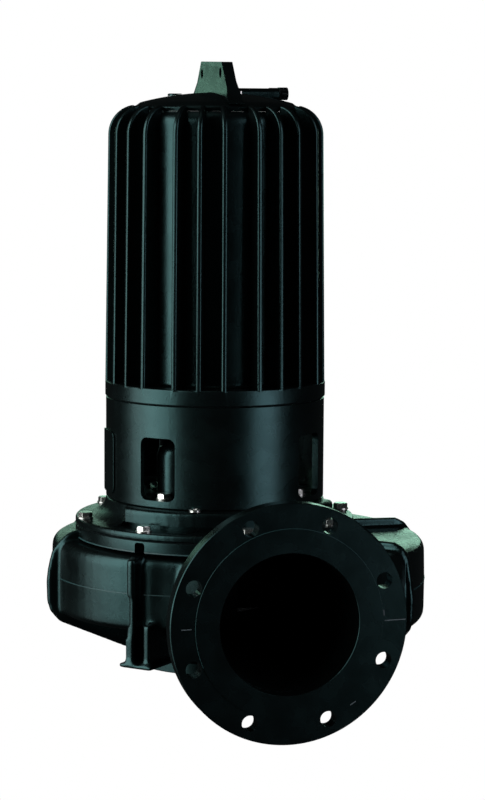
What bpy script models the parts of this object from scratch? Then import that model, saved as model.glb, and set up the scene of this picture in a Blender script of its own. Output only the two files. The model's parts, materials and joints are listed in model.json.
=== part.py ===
"""Submersible sewage pump with a DN 200 discharge flange.

The pump stands upright as it works: finned motor on top, window lantern below it, then the oil
chamber cover and the spiral casing, whose discharge points to -Y. Metres, +Z up. The origin lies
on the raised face of the discharge flange, at its twelve o'clock, where the pump is bolted to its
pipe. Profiles and outlines are written in the pump's own frame: the motor axis is r = 0, and
z = 0 is the level of the discharge axis, which is also the parting plane of the casing.
"""

import math

import bmesh
import bpy
from mathutils import Matrix, Vector

# Joints between neighbours
GAP = 0.0003

# Discharge flange, DN 200 PN 10
FLANGE_RADIUS = 0.170
FLANGE_THICKNESS = 0.026
RAISED_RADIUS = 0.134
RAISED_HEIGHT = 0.003
BORE_RADIUS = 0.100
BOLT_CIRCLE_RADIUS = 0.1475
BOLT_HOLE_RADIUS = 0.0115
BOLT_HOLES = 8

# Where the pump axis stands behind the flange face, and the mount point above the bore's centre
AXIS_SETBACK = 0.434
MOUNT_RISE = 0.5 * (RAISED_RADIUS + BORE_RADIUS)

# Levels of the parts above the discharge axis
FOOT_BOTTOM = -0.111
FOOT_THICKNESS = 0.009
RING_BOTTOM = -0.140
RING_TOP = -0.1213
CASING_BOTTOM = RING_TOP + GAP
CASING_TOP = 0.0747
CASING_FLANGE_THICKNESS = 0.018
COVER_BOTTOM = 0.0762
COVER_FLANGE_TOP = 0.0866
COVER_TOP = 0.1171
LANTERN_BOTTOM = COVER_TOP + GAP
LANTERN_TOP = 0.2710
HOUSING_BOTTOM = 0.2724
HOUSING_RING_TOP = 0.2960
CAP_BOTTOM = 0.7040
CAP_EDGE_TOP = 0.7140
DOME_CROWN = 0.7320
LUG_TOP = 0.7770

# Radii of the round bodies
COVER_RADIUS = 0.2145
LANTERN_RADIUS = 0.1674
LANTERN_WALL = 0.0100
CAP_RADIUS = 0.1250
FIN_RADIUS_LOW = 0.1686
FIN_RADIUS_HIGH = 0.1637
CORE_RADIUS = 0.1340
SHOULDER_RADIUS = 0.0450
SHOULDER_LEVEL = 0.6685
SUCTION_RING_RADIUS = 0.1270
CHAMBER_RADIUS = 0.1560
INLET_RADIUS = 0.0880
SHAFT_RADIUS = 0.0250

# Motor fins: groups of three, with a wide channel every 45 degrees
FIN_THICKNESS = 0.0080
FIN_GROUP_STEP = 45.0
FIN_PITCH = 13.1

# Lantern windows
WINDOW_ANGLES = (-135.0, -90.0, -45.0, 45.0, 135.0)
COVERED_WINDOW = -90.0
WINDOW_WIDTH = 0.0600
WINDOW_BOTTOM = 0.1280
WINDOW_TOP = 0.2220
WINDOW_CORNER = 0.0110

# Spiral casing: its outer radius grows with a power of the angle from the tongue
TONGUE_ANGLE = -34.0
SPIRAL_SWEEP = 326.0
SPIRAL_BASE_RADIUS = 0.2135
SPIRAL_GROWTH = 0.00113
SPIRAL_POWER = 0.827
SPIRAL_INNER_RADIUS = 0.104
SPIRAL_CORNER = 0.022
SPIRAL_WALL = 0.014
SPIRAL_STATIONS = 33

# Ribs round the casing, 45 degrees apart, and the feet under every second one
RIB_ANGLES = (-90.0, -135.0, -180.0, -225.0, -270.0, -315.0)
FOOT_ANGLES = (-45.0, -135.0, -225.0, -315.0)
RIB_THICKNESS = 0.010
RIB_RISE = 0.0112
HIGH_RIB_ANGLE = -90.0
HIGH_RIB_RISE = 0.0184
RIB_LIFT = 0.00005
RIB_DROP = 0.00002
FOOT_REACH = 0.2415
FOOT_WIDTH = 0.057
FOOT_WEB_SPACING = 0.030

# Lifting lug
LUG_THICKNESS = 0.017
LUG_HALF_TOP = 0.067
LUG_HALF_BASE = 0.1245
LUG_HOLE_RADIUS = 0.0075
LUG_HOLE_OFFSET = 0.0575
LUG_HOLE_LEVEL = 0.761

# Cable entry on the dome
ENTRY_OFFSET_Y = 0.025
ENTRY_LEVEL = 0.7300
ENTRY_RADIUS = 0.0100
ENTRY_START = 0.0125
ENTRY_END = 0.1040
GLAND_NUT_RADIUS = 0.0112
GLAND_NUT_LENGTH = 0.0140
GLAND_BORE_RADIUS = 0.0055

ROUND_STEPS = 64
SMALL_ROUND_STEPS = 24
MERGE_DISTANCE = 1e-6
SCREW_MERGE = 1e-5


def clear_scene():
    """Remove whatever the file starts with."""
    for item in list(bpy.data.objects):
        bpy.data.objects.remove(item, do_unlink=True)


def make_collection(name):
    """Make a collection and put it under the scene."""
    group = bpy.data.collections.new(name)
    bpy.context.scene.collection.children.link(group)
    return group


def make_material(name, colour, roughness, metallic):
    """Make a Principled BSDF with one colour."""
    material = bpy.data.materials.new(name)
    material.use_nodes = True
    shader = material.node_tree.nodes["Principled BSDF"]
    shader.inputs["Base Color"].default_value = (*colour, 1.0)
    shader.inputs["Roughness"].default_value = roughness
    shader.inputs["Metallic"].default_value = metallic
    return material


def add_object(name, mesh, material=None):
    """Put a mesh into the scene, standing on the pump axis."""
    item = bpy.data.objects.new(name, mesh)
    parts.objects.link(item)
    item.parent = pump_axis
    if material:
        mesh.materials.append(material)
    mesh.shade_smooth()
    mesh.set_sharp_from_angle(angle=math.radians(30))
    return item


def as_cutter(item):
    """Turn an object into a helper that is not part of the pump."""
    parts.objects.unlink(item)
    cutters.objects.link(item)
    item.hide_render = True
    item.display_type = "WIRE"
    return item


def combine(target, tool, operation, solver="EXACT"):
    """Cut, join or intersect the target with a helper object."""
    modifier = target.modifiers.new(operation.title() + " " + tool.name, "BOOLEAN")
    modifier.operation = operation
    modifier.solver = solver
    modifier.object = as_cutter(tool)
    return target


def arc(centre, radius, start, end, steps):
    """Points of an arc in a profile, angles in degrees from the outward direction."""
    points = []
    for step in range(steps + 1):
        angle = math.radians(start + (end - start) * step / steps)
        points.append((centre[0] + radius * math.cos(angle), centre[1] + radius * math.sin(angle)))
    return points


def turned(name, profile, material=None, steps=ROUND_STEPS, closed=False):
    """Turn a profile of (radius, level) points, which runs down its outer side."""
    mesh = bpy.data.meshes.new(name)
    edges = [(index, index + 1) for index in range(len(profile) - 1)]
    if closed:
        edges.append((len(profile) - 1, 0))
    mesh.from_pydata([(radius, 0.0, level) for radius, level in profile], edges, [])
    item = add_object(name, mesh, material)
    screw = item.modifiers.new("Turn", "SCREW")
    screw.steps = steps
    screw.render_steps = steps
    screw.use_merge_vertices = True
    screw.merge_threshold = SCREW_MERGE
    screw.use_smooth_shade = True
    return item


def plate_mesh(name, outline, thickness):
    """A flat outline in the XY plane as a closed mesh, centred on its thickness."""
    curve = bpy.data.curves.new(name, "CURVE")
    curve.dimensions = "2D"
    curve.fill_mode = "BOTH"
    curve.extrude = 0.5 * thickness
    spline = curve.splines.new("POLY")
    spline.points.add(len(outline) - 1)
    for point, (x, y) in zip(spline.points, outline):
        point.co = (x, y, 0.0, 1.0)
    spline.use_cyclic_u = True
    item = bpy.data.objects.new(name, curve)
    bpy.context.scene.collection.objects.link(item)
    bpy.context.view_layer.update()
    evaluated = item.evaluated_get(bpy.context.evaluated_depsgraph_get())
    mesh = bpy.data.meshes.new_from_object(evaluated)
    bpy.data.objects.remove(item, do_unlink=True)
    shape = bmesh.new()
    shape.from_mesh(mesh)
    bmesh.ops.remove_doubles(shape, verts=shape.verts, dist=MERGE_DISTANCE)
    bmesh.ops.recalc_face_normals(shape, faces=shape.faces)
    shape.to_mesh(mesh)
    shape.free()
    return mesh


def radial_frame(angle, sideways=0.0):
    """Frame of a plate that stands in the radial plane at an angle from the discharge, in degrees."""
    turn = math.radians(angle)
    outward = Vector((math.sin(turn), -math.cos(turn), 0.0))
    upward = Vector((0.0, 0.0, 1.0))
    across = outward.cross(upward)
    frame = Matrix((outward, upward, across)).transposed().to_4x4()
    frame.translation = -sideways * across
    return frame


def facing_frame(angle, radius):
    """Frame of an outline that faces outward at an angle from the discharge: x runs round, y up."""
    turn = math.radians(angle)
    outward = Vector((math.sin(turn), -math.cos(turn), 0.0))
    upward = Vector((0.0, 0.0, 1.0))
    around = upward.cross(outward)
    frame = Matrix((around, upward, outward)).transposed().to_4x4()
    frame.translation = radius * outward
    return frame


def standing_plate(name, outline, thickness, frame, material=None):
    """A plate whose outline is placed by a frame."""
    mesh = plate_mesh(name, outline, thickness)
    mesh.transform(frame)
    return add_object(name, mesh, material)


def loft(name, rings, material=None):
    """Skin a row of rings, all with as many points, and close both ends."""
    shape = bmesh.new()
    rows = [[shape.verts.new(point) for point in ring] for ring in rings]
    count = len(rows[0])
    for row, following in zip(rows, rows[1:]):
        for index in range(count):
            after = (index + 1) % count
            shape.faces.new((row[index], row[after], following[after], following[index]))
    shape.faces.new(list(reversed(rows[0])))
    shape.faces.new(rows[-1])
    bmesh.ops.recalc_face_normals(shape, faces=shape.faces)
    mesh = bpy.data.meshes.new(name)
    shape.to_mesh(mesh)
    shape.free()
    return add_object(name, mesh, material)


def cylinder(name, radius, start, end, material=None, steps=SMALL_ROUND_STEPS):
    """A cylinder between two points."""
    start = Vector(start)
    direction = Vector(end) - start
    shape = bmesh.new()
    bmesh.ops.create_cone(shape, cap_ends=True, segments=steps, radius1=radius, radius2=radius,
                          depth=direction.length)
    turn = direction.to_track_quat("Z", "Y").to_matrix().to_4x4()
    turn.translation = start + 0.5 * direction
    bmesh.ops.transform(shape, matrix=turn, verts=shape.verts)
    mesh = bpy.data.meshes.new(name)
    shape.to_mesh(mesh)
    shape.free()
    return add_object(name, mesh, material)


def rounded_rectangle(width, low, high, corner, steps=4):
    """Outline of a rectangle with round corners, centred on x = 0."""
    half = 0.5 * width - corner
    points = []
    for x, y, start in ((half, high - corner, 0), (-half, high - corner, 90),
                        (-half, low + corner, 180), (half, low + corner, 270)):
        points += arc((x, y), corner, start, start + 90, steps)
    return points


def dome_level(radius):
    """Level of the motor dome's top, part of a sphere through its crown and its edge."""
    drop = DOME_CROWN - CAP_EDGE_TOP
    sphere = (CAP_RADIUS ** 2 + drop ** 2) / (2.0 * drop)
    return DOME_CROWN - sphere + math.sqrt(sphere ** 2 - radius ** 2)


def dome_profile(lift=0.0, reach=CAP_RADIUS, steps=7):
    """The dome's top from its crown to a radius, raised by a lift."""
    return [(reach * step / steps, dome_level(reach * step / steps) + lift) for step in range(steps + 1)]


def dome_cutter(name):
    """A solid as large as the motor cap with its joint gap, to seat what stands on it."""
    profile = dome_profile(GAP) + [(CAP_RADIUS + GAP, CAP_EDGE_TOP + GAP),
                                   (CAP_RADIUS + GAP, CAP_BOTTOM - 0.010), (0.0, CAP_BOTTOM - 0.010)]
    return turned(name, profile)


def motor_fin_outline():
    """One fin in its radial plane: draft on its crest, a round shoulder, then up to the cap's edge."""
    shoulder = (FIN_RADIUS_HIGH - SHOULDER_RADIUS, SHOULDER_LEVEL)
    rim = CAP_RADIUS + GAP
    last_angle = math.degrees(math.acos((rim - shoulder[0]) / SHOULDER_RADIUS))
    outline = [(FIN_RADIUS_LOW, HOUSING_RING_TOP - 0.004)]
    outline += arc(shoulder, SHOULDER_RADIUS, 0, last_angle, 8)
    outline += [(rim, CAP_BOTTOM - 0.006), (CORE_RADIUS - 0.012, CAP_BOTTOM - 0.012),
                (CORE_RADIUS - 0.012, HOUSING_RING_TOP - 0.004)]
    return outline


def build_motor_housing():
    """Finned motor jacket, one casting from its bottom ring to the shoulder."""
    core_corner = (CORE_RADIUS - 0.024, CAP_BOTTOM - 0.020)
    top = CAP_BOTTOM - GAP
    edge = CAP_RADIUS - GAP
    last_angle = math.degrees(math.acos((edge - core_corner[0]) / 0.024))
    foot_fillet = (CORE_RADIUS + 0.006, HOUSING_RING_TOP + 0.006)
    profile = [(0.0, top), (edge, top)]
    profile += arc(core_corner, 0.024, last_angle, 0, 4)
    profile += arc(foot_fillet, 0.006, 180, 270, 3)
    profile += [(FIN_RADIUS_LOW - 0.0015, HOUSING_RING_TOP), (FIN_RADIUS_LOW, HOUSING_RING_TOP - 0.0015),
                (FIN_RADIUS_LOW, HOUSING_BOTTOM), (0.0, HOUSING_BOTTOM)]
    housing = turned("motor_housing", profile, paint, steps=96)

    fin = plate_mesh("fin", motor_fin_outline(), FIN_THICKNESS)
    fins = bmesh.new()
    for group in range(8):
        for place in (-1, 0, 1):
            angle = FIN_GROUP_STEP * (group + 0.5) + FIN_PITCH * place
            copy = fin.copy()
            copy.transform(radial_frame(angle))
            fins.from_mesh(copy)
            bpy.data.meshes.remove(copy)
    mesh = bpy.data.meshes.new("motor_fins")
    fins.to_mesh(mesh)
    fins.free()
    bpy.data.meshes.remove(fin)
    return combine(housing, add_object("motor_fins", mesh), "UNION")


def build_motor_cover():
    """Shallow dome that closes the motor, bolted down on the jacket."""
    profile = dome_profile()
    profile[-1] = (CAP_RADIUS - 0.0015, CAP_EDGE_TOP)
    profile += [(CAP_RADIUS, CAP_EDGE_TOP - 0.0015), (CAP_RADIUS, CAP_BOTTOM), (0.0, CAP_BOTTOM)]
    return turned("motor_cover", profile, paint, steps=48)


def build_lifting_lug():
    """Cast plate across the dome, in the plane of the discharge, with an eye near each end."""
    corner = 0.005
    side = [(LUG_HALF_BASE, CAP_EDGE_TOP - 0.004), (LUG_HALF_BASE - 0.001, CAP_EDGE_TOP + 0.0015),
            (0.116, 0.7195), (0.108, 0.7265), (0.098, 0.737)]
    crown = arc((LUG_HALF_TOP - corner, LUG_TOP - corner), corner, 20, 90, 3)
    half = side + crown
    outline = half + [(-y, z) for y, z in reversed(half)]
    lug = standing_plate("lifting_lug", outline, LUG_THICKNESS, radial_frame(0.0), paint)
    for side_sign in (-1, 1):
        y = side_sign * LUG_HOLE_OFFSET
        eye = cylinder("eye_cut", LUG_HOLE_RADIUS, (-0.03, y, LUG_HOLE_LEVEL), (0.03, y, LUG_HOLE_LEVEL))
        combine(lug, eye, "DIFFERENCE")
    return combine(lug, dome_cutter("lug_seat"), "DIFFERENCE")


def build_cable_entry():
    """Cable entry on the dome: a pipe on a cast saddle, its gland nut and the rubber seal inside."""
    y = ENTRY_OFFSET_Y
    entry = cylinder("cable_entry", ENTRY_RADIUS, (ENTRY_START, y, ENTRY_LEVEL), (ENTRY_END, y, ENTRY_LEVEL), paint)
    half = ENTRY_RADIUS - 0.001
    saddle = [(-half, ENTRY_LEVEL - 0.020), (half, ENTRY_LEVEL - 0.020), (half, ENTRY_LEVEL), (-half, ENTRY_LEVEL)]
    length = ENTRY_END - ENTRY_START - 0.012
    frame = facing_frame(90.0, ENTRY_START + 0.5 * length + 0.002)
    frame.translation.y = y
    combine(entry, standing_plate("saddle", saddle, length, frame), "UNION")
    combine(entry, dome_cutter("entry_seat"), "DIFFERENCE")

    nut_start = ENTRY_END + GAP
    nut_end = nut_start + GLAND_NUT_LENGTH
    nut = cylinder("gland_nut", GLAND_NUT_RADIUS, (nut_start, y, ENTRY_LEVEL + 0.001),
                   (nut_end, y, ENTRY_LEVEL + 0.001), steel, steps=6)
    bore = cylinder("nut_bore", GLAND_BORE_RADIUS + 0.002, (nut_start + 0.003, y, ENTRY_LEVEL + 0.001),
                    (nut_end + 0.010, y, ENTRY_LEVEL + 0.001))
    combine(nut, bore, "DIFFERENCE")

    seal_radius = GLAND_BORE_RADIUS + 0.002 - GAP
    seal = cylinder("gland_seal", seal_radius, (nut_start + 0.003 + GAP, y, ENTRY_LEVEL + 0.001),
                    (nut_end - 0.001, y, ENTRY_LEVEL + 0.001), rubber)
    return entry, nut, seal


def build_vent_plug():
    """Round plug on the left of the dome."""
    angle = math.radians(-104.0)
    x = 0.0625 * math.sin(angle)
    y = -0.0625 * math.cos(angle)
    plug = cylinder("vent_plug", 0.0115, (x, y, 0.7150), (x, y, 0.7294), paint)
    return combine(plug, dome_cutter("plug_seat"), "DIFFERENCE")


def build_housing_seal():
    """Flat seal in the joint between motor jacket and lantern."""
    outer = FIN_RADIUS_LOW - 0.003
    inner = outer - 0.020
    low = LANTERN_TOP + GAP
    high = HOUSING_BOTTOM - GAP
    return turned("housing_seal", [(inner, high), (outer, high), (outer, low), (inner, low)], rubber, closed=True)


def window_outline():
    """Outline of one lantern window."""
    return rounded_rectangle(WINDOW_WIDTH, WINDOW_BOTTOM, WINDOW_TOP, WINDOW_CORNER)


def build_lantern():
    """Round housing between motor and pump, open through its windows, with a flange inside each end."""
    inner = LANTERN_RADIUS - LANTERN_WALL
    sill = WINDOW_BOTTOM - 0.0004
    profile = [(0.130, LANTERN_TOP), (LANTERN_RADIUS, LANTERN_TOP), (LANTERN_RADIUS, LANTERN_BOTTOM),
               (0.101, LANTERN_BOTTOM), (0.101, sill), (inner, sill), (inner, LANTERN_TOP - 0.010),
               (0.130, LANTERN_TOP - 0.010)]
    lantern = turned("lantern", profile, paint, steps=72, closed=True)
    for angle in WINDOW_ANGLES:
        window = standing_plate("window_cut", window_outline(), 0.040, facing_frame(angle, LANTERN_RADIUS))
        combine(lantern, window, "DIFFERENCE")
    return lantern


def build_window_cover():
    """Curved plate over the window on the left side."""
    inner = LANTERN_RADIUS + GAP
    outer = inner + 0.0025
    low = WINDOW_BOTTOM - 0.010
    high = WINDOW_TOP + 0.010
    cover = turned("window_cover", [(inner, high), (outer, high), (outer, low), (inner, low)], paint,
                   steps=144, closed=True)
    outline = rounded_rectangle(WINDOW_WIDTH + 0.008, WINDOW_BOTTOM - 0.0005, WINDOW_TOP, WINDOW_CORNER)
    sheet = standing_plate("window_cover_edge", outline, 0.040, facing_frame(COVERED_WINDOW, LANTERN_RADIUS))
    return combine(cover, sheet, "INTERSECT")


def build_end_shield():
    """Disc under the motor that carries the lower bearing and closes the lantern's top."""
    outer = LANTERN_RADIUS - LANTERN_WALL - GAP
    low = 0.246
    high = LANTERN_TOP - 0.010 - GAP
    profile = [(SHAFT_RADIUS + GAP, high), (outer, high), (outer, low + 0.006), (0.105, low),
               (SHAFT_RADIUS + GAP, low)]
    return turned("lower_end_shield", profile, paint, closed=True)


def build_seal_housing():
    """Housing of the shaft seals, seen through the windows."""
    low = COVER_TOP + GAP
    high = 0.246 - GAP
    profile = [(SHAFT_RADIUS + GAP, high), (0.080, high), (0.086, high - 0.010), (0.086, 0.140), (0.0995, 0.134),
               (0.0995, low), (SHAFT_RADIUS + GAP, low)]
    return turned("seal_housing", profile, paint, closed=True)


def build_shaft():
    """Motor shaft from the end shield down into the impeller."""
    profile = [(0.0, 0.259), (SHAFT_RADIUS, 0.259), (SHAFT_RADIUS, 0.0560), (0.0200, 0.0560), (0.0200, -0.0200),
               (0.0, -0.0200)]
    return turned("shaft", profile, steel, steps=SMALL_ROUND_STEPS)


def build_pump_cover():
    """Cover of the spiral casing with the oil chamber in it, bulged towards the discharge."""
    neck = arc((LANTERN_RADIUS + 0.030, COVER_TOP + 0.0005), 0.030, 180, 255, 6)
    profile = [(SHAFT_RADIUS + GAP, COVER_TOP), (LANTERN_RADIUS, COVER_TOP)] + neck[1:]
    profile += [(COVER_RADIUS - 0.003, COVER_FLANGE_TOP), (COVER_RADIUS, COVER_FLANGE_TOP - 0.003),
                (COVER_RADIUS, COVER_BOTTOM), (CHAMBER_RADIUS - 0.0006, COVER_BOTTOM), (CHAMBER_RADIUS - 0.0006, 0.0620),
                (SHAFT_RADIUS + GAP, 0.0620)]
    cover = turned("pump_cover", profile, paint, steps=72, closed=True)

    bulge_radius = 0.187
    half_sweep = 64
    low = COVER_FLANGE_TOP + 0.006
    high = COVER_TOP - 0.0004
    rings = []
    for step in range(17):
        turn = math.radians(-half_sweep + 2 * half_sweep * step / 16)
        section = [(0.150, low), (bulge_radius, low), (bulge_radius, high - 0.004), (bulge_radius - 0.004, high),
                   (0.150, high)]
        rings.append([(r * math.sin(turn), -r * math.cos(turn), z) for r, z in section])
    return combine(cover, loft("oil_chamber_bulge", rings), "UNION")


def build_oil_plug():
    """Plug of the oil chamber, on the ledge of the bulge."""
    turn = math.radians(-23.5)
    radius = 0.1775
    x = radius * math.sin(turn)
    y = -radius * math.cos(turn)
    return cylinder("oil_plug", 0.0075, (x, y, COVER_TOP + 0.0001), (x, y, COVER_TOP + 0.0040), steel, steps=16)


def build_cover_gasket():
    """Thin gasket between pump cover and casing."""
    outer = COVER_RADIUS - 0.0015
    low = CASING_TOP + GAP
    high = COVER_BOTTOM - GAP
    return turned("cover_gasket", [(0.160, high), (outer, high), (outer, low), (0.160, low)], rubber, closed=True)


def spiral_radius(sweep):
    """Outer radius of the spiral at an angle from its tongue, in degrees."""
    return SPIRAL_BASE_RADIUS + SPIRAL_GROWTH * sweep ** SPIRAL_POWER


def spiral_top(sweep):
    """Level of the spiral's roof."""
    return 0.0520 + 0.0000185 * sweep


def spiral_bottom(sweep):
    """Level of the spiral's floor."""
    return -0.0585 - 0.000013 * sweep


def spiral_section(sweep, inset, inner):
    """Section of the spiral in its radial plane, smaller by an inset."""
    outer = spiral_radius(sweep) - inset
    top = spiral_top(sweep) - inset
    bottom = spiral_bottom(sweep) + inset
    corner = SPIRAL_CORNER - 0.5 * inset
    section = [(inner, top)]
    section += arc((outer - corner, top - corner), corner, 90, 0, 4)
    section += arc((outer - corner, bottom + corner), corner, 0, -90, 4)
    section += [(inner, bottom)]
    return section


def spiral(name, inset, inner, first, last, material=None):
    """The spiral body or the passage in it."""
    rings = []
    for station in range(SPIRAL_STATIONS):
        sweep = first + (last - first) * station / (SPIRAL_STATIONS - 1)
        turn = math.radians(TONGUE_ANGLE - sweep)
        section = spiral_section(sweep, inset, inner)
        rings.append([(r * math.sin(turn), -r * math.cos(turn), z) for r, z in section])
    return loft(name, rings, material)


def nozzle_ring(y, half_width, half_height, power, steps=40):
    """Ring of the discharge nozzle: round when power is 2, boxier above."""
    ring = []
    for step in range(steps):
        turn = 2 * math.pi * step / steps
        x = math.copysign(abs(math.cos(turn)) ** (2 / power), math.cos(turn))
        z = math.copysign(abs(math.sin(turn)) ** (2 / power), math.sin(turn))
        ring.append((half_width * x, y, half_height * z))
    return ring


def nozzle(name, wall, front):
    """Discharge nozzle between the spiral and the flange, or the passage in it."""
    back_of_flange = -AXIS_SETBACK + FLANGE_THICKNESS
    stations = [(front, 0.114, 0.114, 2.0), (back_of_flange + 0.030, 0.114, 0.114, 2.0), (-0.330, 0.113, 0.108, 2.3),
                (-0.280, 0.114, 0.090, 2.8), (-0.228, 0.118, 0.072, 3.4), (-0.150, 0.120, 0.068, 4.0)]
    rings = [nozzle_ring(y, width - wall, height - wall, power) for y, width, height, power in stations]
    return loft(name, rings)


def rib_outline(angle, rise, footed):
    """Rib in its radial plane: from the top flange round the spiral, then down to the suction neck."""
    sweep = TONGUE_ANGLE - angle
    edge = spiral_radius(sweep) + rise
    lift = RIB_LIFT * (sweep - 56.0)
    drop = RIB_DROP * (sweep - 56.0)
    crown = CASING_TOP - 0.004
    outline = [(0.128, crown), (COVER_RADIUS - 0.003, crown), (max(edge - 0.034, COVER_RADIUS), 0.0649 + 0.5 * lift),
               (edge - 0.020, 0.0531 + lift), (edge - 0.009, 0.0380 + lift), (edge - 0.003, 0.0146 - drop),
               (edge, -0.0083 - drop), (edge - 0.001, -0.0392 - drop), (edge - 0.006, -0.0552 - drop),
               (edge - 0.020, -0.0713 - drop)]
    if footed:
        outline += [(FOOT_REACH, -0.084), (FOOT_REACH, FOOT_BOTTOM + 0.4 * FOOT_THICKNESS),
                    (0.109, FOOT_BOTTOM + 0.4 * FOOT_THICKNESS), (0.109, 0.0)]
    else:
        outline += [(0.1405, -0.1155), (0.109, CASING_BOTTOM + 0.002), (0.109, 0.0)]
    return outline


def front_rib_outline():
    """Rib at the narrow start of the spiral: a straight edge from the top flange to the foot."""
    crown = CASING_TOP - 0.004
    return [(0.128, crown), (COVER_RADIUS - 0.003, crown), (FOOT_REACH, crown - 0.011),
            (FOOT_REACH, FOOT_BOTTOM + 0.4 * FOOT_THICKNESS), (0.109, FOOT_BOTTOM + 0.4 * FOOT_THICKNESS),
            (0.109, 0.0)]


def foot_web_outline():
    """Second web of a foot, parallel to its rib."""
    return [(0.112, -0.0455), (FOOT_REACH - 0.001, -0.0455), (FOOT_REACH - 0.001, FOOT_BOTTOM + 0.6 * FOOT_THICKNESS),
            (0.112, FOOT_BOTTOM + 0.6 * FOOT_THICKNESS)]


def add_ribs_and_feet(casing):
    """Join the ribs, the foot webs and the foot plates to the casing."""
    for angle in RIB_ANGLES:
        rise = HIGH_RIB_RISE if angle == HIGH_RIB_ANGLE else RIB_RISE
        outline = rib_outline(angle, rise, angle in FOOT_ANGLES)
        combine(casing, standing_plate("rib", outline, RIB_THICKNESS, radial_frame(angle)), "UNION", "MANIFOLD")
    front_rib = standing_plate("front_rib", front_rib_outline(), RIB_THICKNESS, radial_frame(FOOT_ANGLES[0]))
    combine(casing, front_rib, "UNION", "MANIFOLD")
    for angle in FOOT_ANGLES:
        web = standing_plate("foot_web", foot_web_outline(), RIB_THICKNESS, radial_frame(angle, FOOT_WEB_SPACING))
        combine(casing, web, "UNION", "MANIFOLD")
        sole = [(0.163, FOOT_BOTTOM), (FOOT_REACH + 0.003, FOOT_BOTTOM),
                (FOOT_REACH + 0.003, FOOT_BOTTOM + FOOT_THICKNESS), (0.163, FOOT_BOTTOM + FOOT_THICKNESS)]
        frame = radial_frame(angle, FOOT_WEB_SPACING - 0.020)
        combine(casing, standing_plate("foot_sole", sole, FOOT_WIDTH, frame), "UNION", "MANIFOLD")
    return casing


def build_volute_casing():
    """Spiral casing, one casting with its nozzle, top flange, suction neck, ribs and feet."""
    flange_bottom = CASING_TOP - CASING_FLANGE_THICKNESS
    profile = [(0.0, CASING_TOP), (COVER_RADIUS - 0.0015, CASING_TOP), (COVER_RADIUS, CASING_TOP - 0.0015),
               (COVER_RADIUS, flange_bottom), (0.190, flange_bottom - 0.004), (0.178, 0.045), (0.178, -0.058),
               (0.118, -0.075), (0.118, CASING_BOTTOM), (0.0, CASING_BOTTOM)]
    casing = turned("volute_casing", profile, paint, steps=72)
    combine(casing, spiral("spiral_body", 0.0, SPIRAL_INNER_RADIUS, 0.0, SPIRAL_SWEEP), "UNION", "MANIFOLD")
    back_of_flange = -AXIS_SETBACK + FLANGE_THICKNESS
    combine(casing, nozzle("nozzle_body", 0.0, back_of_flange + GAP), "UNION", "MANIFOLD")
    add_ribs_and_feet(casing)

    chamber = turned("impeller_chamber", [(0.0, CASING_TOP + 0.010), (CHAMBER_RADIUS, CASING_TOP + 0.010),
                                          (CHAMBER_RADIUS, -0.056), (INLET_RADIUS, -0.066),
                                          (INLET_RADIUS, CASING_BOTTOM - 0.010), (0.0, CASING_BOTTOM - 0.010)])
    combine(casing, chamber, "DIFFERENCE", "MANIFOLD")
    passage = spiral("spiral_passage", SPIRAL_WALL, 0.140, 14.0, SPIRAL_SWEEP - 12.0)
    combine(casing, passage, "DIFFERENCE", "MANIFOLD")
    combine(casing, nozzle("nozzle_bore", SPIRAL_WALL, -AXIS_SETBACK - 0.010), "DIFFERENCE", "MANIFOLD")
    return casing


def build_discharge_flange():
    """Discharge flange, drilled to PN 10, with its raised sealing face."""
    face = FLANGE_THICKNESS
    back = 0.0
    profile = [(BORE_RADIUS, face), (RAISED_RADIUS, face), (RAISED_RADIUS, face - RAISED_HEIGHT),
               (FLANGE_RADIUS - 0.001, face - RAISED_HEIGHT), (FLANGE_RADIUS, face - RAISED_HEIGHT - 0.001),
               (FLANGE_RADIUS, back + 0.001), (FLANGE_RADIUS - 0.001, back), (BORE_RADIUS, back)]
    flange = turned("discharge_flange", profile, paint, steps=72, closed=True)
    flange.location = (0.0, -AXIS_SETBACK + FLANGE_THICKNESS, 0.0)
    flange.rotation_euler = (math.radians(90), 0.0, 0.0)
    for hole in range(BOLT_HOLES):
        turn = math.radians((hole + 0.5) * 360 / BOLT_HOLES)
        x = BOLT_CIRCLE_RADIUS * math.cos(turn)
        z = BOLT_CIRCLE_RADIUS * math.sin(turn)
        drill = cylinder("bolt_hole_cut", BOLT_HOLE_RADIUS, (x, -AXIS_SETBACK - 0.02, z), (x, -AXIS_SETBACK + 0.05, z),
                         steps=20)
        combine(flange, drill, "DIFFERENCE")
    return flange


def build_suction_ring():
    """Wear ring and suction flange under the casing."""
    profile = [(INLET_RADIUS, RING_TOP), (SUCTION_RING_RADIUS - 0.002, RING_TOP),
               (SUCTION_RING_RADIUS, RING_TOP - 0.002), (SUCTION_RING_RADIUS, RING_BOTTOM + 0.001),
               (SUCTION_RING_RADIUS - 0.001, RING_BOTTOM), (0.094, RING_BOTTOM), (INLET_RADIUS, RING_BOTTOM + 0.006)]
    return turned("suction_ring", profile, paint, closed=True)


def vane_outline(start, sweep=150.0, inner=0.034, outer=0.1395, thickness=0.009, steps=9):
    """One backward-curved vane, seen from above."""
    near = []
    far = []
    for step in range(steps + 1):
        part = step / steps
        turn = math.radians(start + sweep * part)
        radius = inner + (outer - inner) * part ** 0.8
        slope = 0.5 * thickness
        near.append(((radius - slope) * math.cos(turn), (radius - slope) * math.sin(turn)))
        far.append(((radius + slope) * math.cos(turn), (radius + slope) * math.sin(turn)))
    return near + list(reversed(far))


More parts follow.
